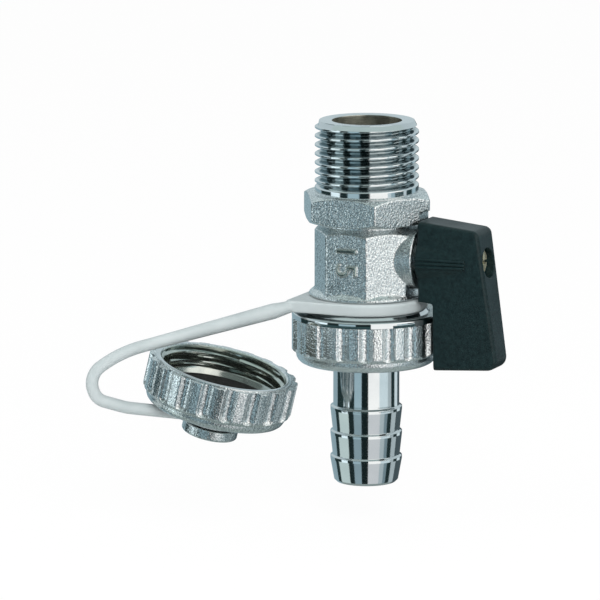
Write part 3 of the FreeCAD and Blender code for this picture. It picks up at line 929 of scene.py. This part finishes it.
def stand_off(thing, aim, back, distance):
    """Puts a camera or a lamp back from the point that it faces; lengths are metres."""
    thing.location = aim + back * distance
    thing.rotation_euler = back.to_track_quat("Z", "Y").to_euler()


def add_camera():
    """The photograph's view, with the flow axis at its pixel and the pixels at their scale."""
    data = bpy.data.cameras.new("camera")
    data.sensor_fit = "HORIZONTAL"
    data.angle = 2 * math.atan(IMAGE_SIZE / 2 / (PIXELS_PER_MM * CAMERA_DISTANCE))
    data.clip_start = CAMERA_NEAR * MM
    camera = new_object("camera", data)
    right = direction(VIEW_AZIMUTH + 90)
    aside = (IMAGE_SIZE / 2 - AXIS_PIXEL_X) / PIXELS_PER_MM
    aim = right * aside + Vector((0, 0, AIM_HEIGHT))
    stand_off(camera, aim * MM, direction(VIEW_AZIMUTH, VIEW_ELEVATION), CAMERA_DISTANCE * MM)
    bpy.context.scene.camera = camera


def add_lamp(name, azimuth, elevation, distance, size, power):
    """A square lamp that faces the object and doesn't show in the metal."""
    data = bpy.data.lights.new(name, "AREA")
    data.size = size
    data.energy = power
    lamp = new_object(name, data)
    stand_off(lamp, Vector((0, 0, AIM_HEIGHT * MM)), direction(azimuth, elevation), distance)
    lamp.visible_glossy = False


def square(half, height):
    """Corners of a level square about Z."""
    return [(-half, -half, height), (half, -half, height), (half, half, height), (-half, half, height)]


def glossy_card(name, points, faces, level, tone):
    """A glowing surface that only glossy rays see."""
    material = bpy.data.materials.new(name)
    tree = bare_tree(material)
    glow = add_node(tree, "Emission", Color=tone, Strength=level)
    add_node(tree, "OutputMaterial", Surface=glow.outputs["Emission"])
    mesh = bpy.data.meshes.new(name)
    mesh.from_pydata(points, [], faces)
    mesh.materials.append(material)
    card = new_object(name, mesh)
    card.visible_camera = False
    card.visible_diffuse = False
    card.visible_shadow = False
    card.visible_transmission = False


def add_standing_card(name, distance, left, right, low, high, level, tone):
    """An upright card, curved about the object at a distance."""
    steps = max(CARD_LEAST_STEPS, round((right - left) / CARD_STEP_ANGLE))
    points = []
    for k in range(steps + 1):
        foot = direction(VIEW_AZIMUTH + left + (right - left) * k / steps) * distance
        points += [(foot.x, foot.y, low), (foot.x, foot.y, high)]
    faces = [(2 * k, 2 * k + 2, 2 * k + 3, 2 * k + 1) for k in range(steps)]
    glossy_card(name, points, faces, level, tone)


def add_lying_card(name, height, level):
    """A square card over or under the object."""
    glossy_card(name, square(CARD_RADIUS, height), [(0, 1, 2, 3)], level, GREY)


def seen_directly(tree):
    """1 for camera, glossy and transmission rays, and 0 for the light that falls on things."""
    path = add_node(tree, "LightPath").outputs
    direct = calculate(tree, "MAXIMUM", path["Is Camera Ray"], path["Is Glossy Ray"])
    return calculate(tree, "MAXIMUM", direct, path["Is Transmission Ray"])


def add_world():
    """White to look at, and a plain level of light on the object."""
    world = bpy.data.worlds.new("studio")
    tree = bare_tree(world)
    soft = add_node(tree, "Background", Color=PURE_WHITE, Strength=WORLD_LIGHT)
    white = add_node(tree, "Background", Color=PURE_WHITE, Strength=1.0)
    mix_to_output(tree, "World", seen_directly(tree), soft, white)
    bpy.context.scene.world = world


def add_floor():
    """A pale floor that keeps a faint shadow, below where the tail comes to when it is undone."""
    material = bpy.data.materials.new("floor")
    tree = bare_tree(material)
    paper = add_node(tree, "BsdfDiffuse", Color=FLOOR_PAPER)
    white = add_node(tree, "Emission", Color=PURE_WHITE, Strength=1.0)
    share = calculate(tree, "MULTIPLY", seen_directly(tree), FLOOR_GLOW)
    mix_to_output(tree, "Material", share, paper, white)
    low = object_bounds()[0][2] - FLOOR_GAP * MM
    mesh = bpy.data.meshes.new("floor")
    mesh.from_pydata(square(FLOOR_HALF * MM, low), [], [(0, 1, 2, 3)])
    mesh.materials.append(material)
    floor = new_object("floor", mesh)
    floor.visible_glossy = False


blasted = blasted_nickel("blasted_nickel", grain_depth=0.14, shade=(0.48, 0.52, 0.53))
tumbled = blasted_nickel("tumbled_nickel", grain_depth=0.09, shade=(0.44, 0.48, 0.49))
brightened = blasted_nickel("brightened_nickel", grain_depth=0.12, shade=(0.68, 0.71, 0.72))
turned = turned_nickel("turned_nickel", mark_depth=0.004, dullness=0.12)
faced = turned_nickel("faced_nickel", mark_depth=0.02, dullness=0.12)
polished = turned_nickel("polished_nickel", mark_depth=0.001, dullness=0.04)
threaded = threaded_nickel()
# Plating for the hollows and the raised number; in the hollows its darker tone is partly painted shade
inside = inside_nickel(
    "inside_nickel",
    metal=1.0,
    dark=(0.45, 0.49, 0.465),
    pale=(0.65, 0.675, 0.62),
    dullness=0.22,
)
# Painted shade of the bores: far darker than the plating outside
bore = inside_nickel(
    "bore_nickel",
    metal=0.93,
    dark=(0.20, 0.20, 0.165),
    pale=(0.68, 0.67, 0.57),
    dullness=0.4,
)
# Painted shade for the nut's top face, which lies under the strap's ring
nut_top_shade = inside_nickel(
    "painted_shade_nickel",
    metal=1.0,
    dark=(0.12, 0.16, 0.16),
    pale=(0.28, 0.33, 0.33),
    dullness=0.3,
)
plastic = lever_plastic()
rubber = seal_rubber()
polymer = seat_polymer()

forging = moulded_copy(
    "body_forging",
    "valve_body",
    smoothing=2,
    keep=0.5,
    low=FORGING_BOTTOM,
    high=FORGING_TOP,
    added=size_mark(),
)
finish_piece(forging, "valve_body", "valve", "plated_forging", blasted, bore, inside)
# The bore's wall, darkened with painted shade
paint(forging, bore, outer=INLET_BORE_R + FORGING_MARGIN)
paint_mark(forging, inside)

inlet = inlet_piece()
finish_piece(inlet, "valve_body", "valve", "plated_turning", turned, bore, faced, threaded)
# The bore's wall, darkened with painted shade
paint(inlet, bore, outer=INLET_BORE_R + PAINT_MARGIN)
paint(inlet, faced, low=INLET_TOP - PAINT_MARGIN)
# The thread, its roots darkened with painted shade
paint(inlet, threaded, low=RUN_OUT_START, high=INLET_SHOULDER, inner=INLET_WALL_R)

outlet = outlet_piece()
finish_piece(outlet, "valve_body", "valve", "plated_turning", turned, inside)
# The outlet's bore, its darker tone partly painted shade
paint(outlet, inside, outer=OUTLET_BORE_R + PAINT_MARGIN)

nut = nut_piece()
finish_piece(nut, "union_nut", "union_nut", "plated_forging", brightened, polished, inside, nut_top_shade)
paint(nut, polished, low=NUT_TOP - NUT_RING_HEIGHT)
# The nut's thread and floor, their darker tone partly painted shade
paint(nut, inside, low=NUT_FLOOR, high=NUT_TOP - MOUTH_MARGIN, outer=THREAD_WALL_R)
# Painted shade on the nut's top face, under the strap's ring
paint(nut, nut_top_shade, low=NUT_TOP - PAINT_MARGIN)

cap = cap_piece()
finish_piece(cap, "cap", "cap", "plated_forging", tumbled, turned, inside)
paint(cap, turned, low=-PAINT_MARGIN)
# The cap's inside, its darker tone partly painted shade
paint(cap, inside, low=CAP_FLOOR - CAP_HEIGHT - PAINT_MARGIN, high=-MOUTH_MARGIN, outer=THREAD_WALL_R)

finish_piece(tail_piece(), "hose_tail", "hose_tail", "plated_turning", turned)

lever = moulded_copy("lever_moulding", "handle", smoothing=2, keep=0.5)
finish_piece(lever, "handle", "lever", "lever_polymer", plastic)

finish_piece(hub_ridges(), "handle", "lever", "lever_polymer", plastic)

strap = moulded_copy("strap_moulding", "cap_strap", smoothing=5, keep=1.0)
finish_piece(strap, "cap_strap", "strap", "strap_polymer", strap_plastic())

for node in ("stem", "seat_retainer"):
    finish_node(node, turned)
for node in ("stem_o_ring_inner", "stem_o_ring_outer", "tail_gasket", "cap_gasket"):
    finish_node(node, rubber)
for node in ("inlet_seat", "outlet_seat", "stem_washer"):
    finish_node(node, polymer)
finish_node("handle_screw", screw_steel())
finish_node("ball", polished_ball())

add_camera()
add_world()
add_floor()
for name, card in CARDS.items():
    add_standing_card(name, CARD_RADIUS, *card)
for name, seam in SEAMS.items():
    add_standing_card(name, SEAM_RADIUS, *seam)
add_lying_card("ceiling", CARD_HIGH, CEILING_LEVEL)
add_lying_card("ground", CARD_LOW, GROUND_LEVEL)
for name, lamp in LAMPS.items():
    add_lamp(name, *lamp)
bpy.context.scene.view_settings.view_transform = "Standard"
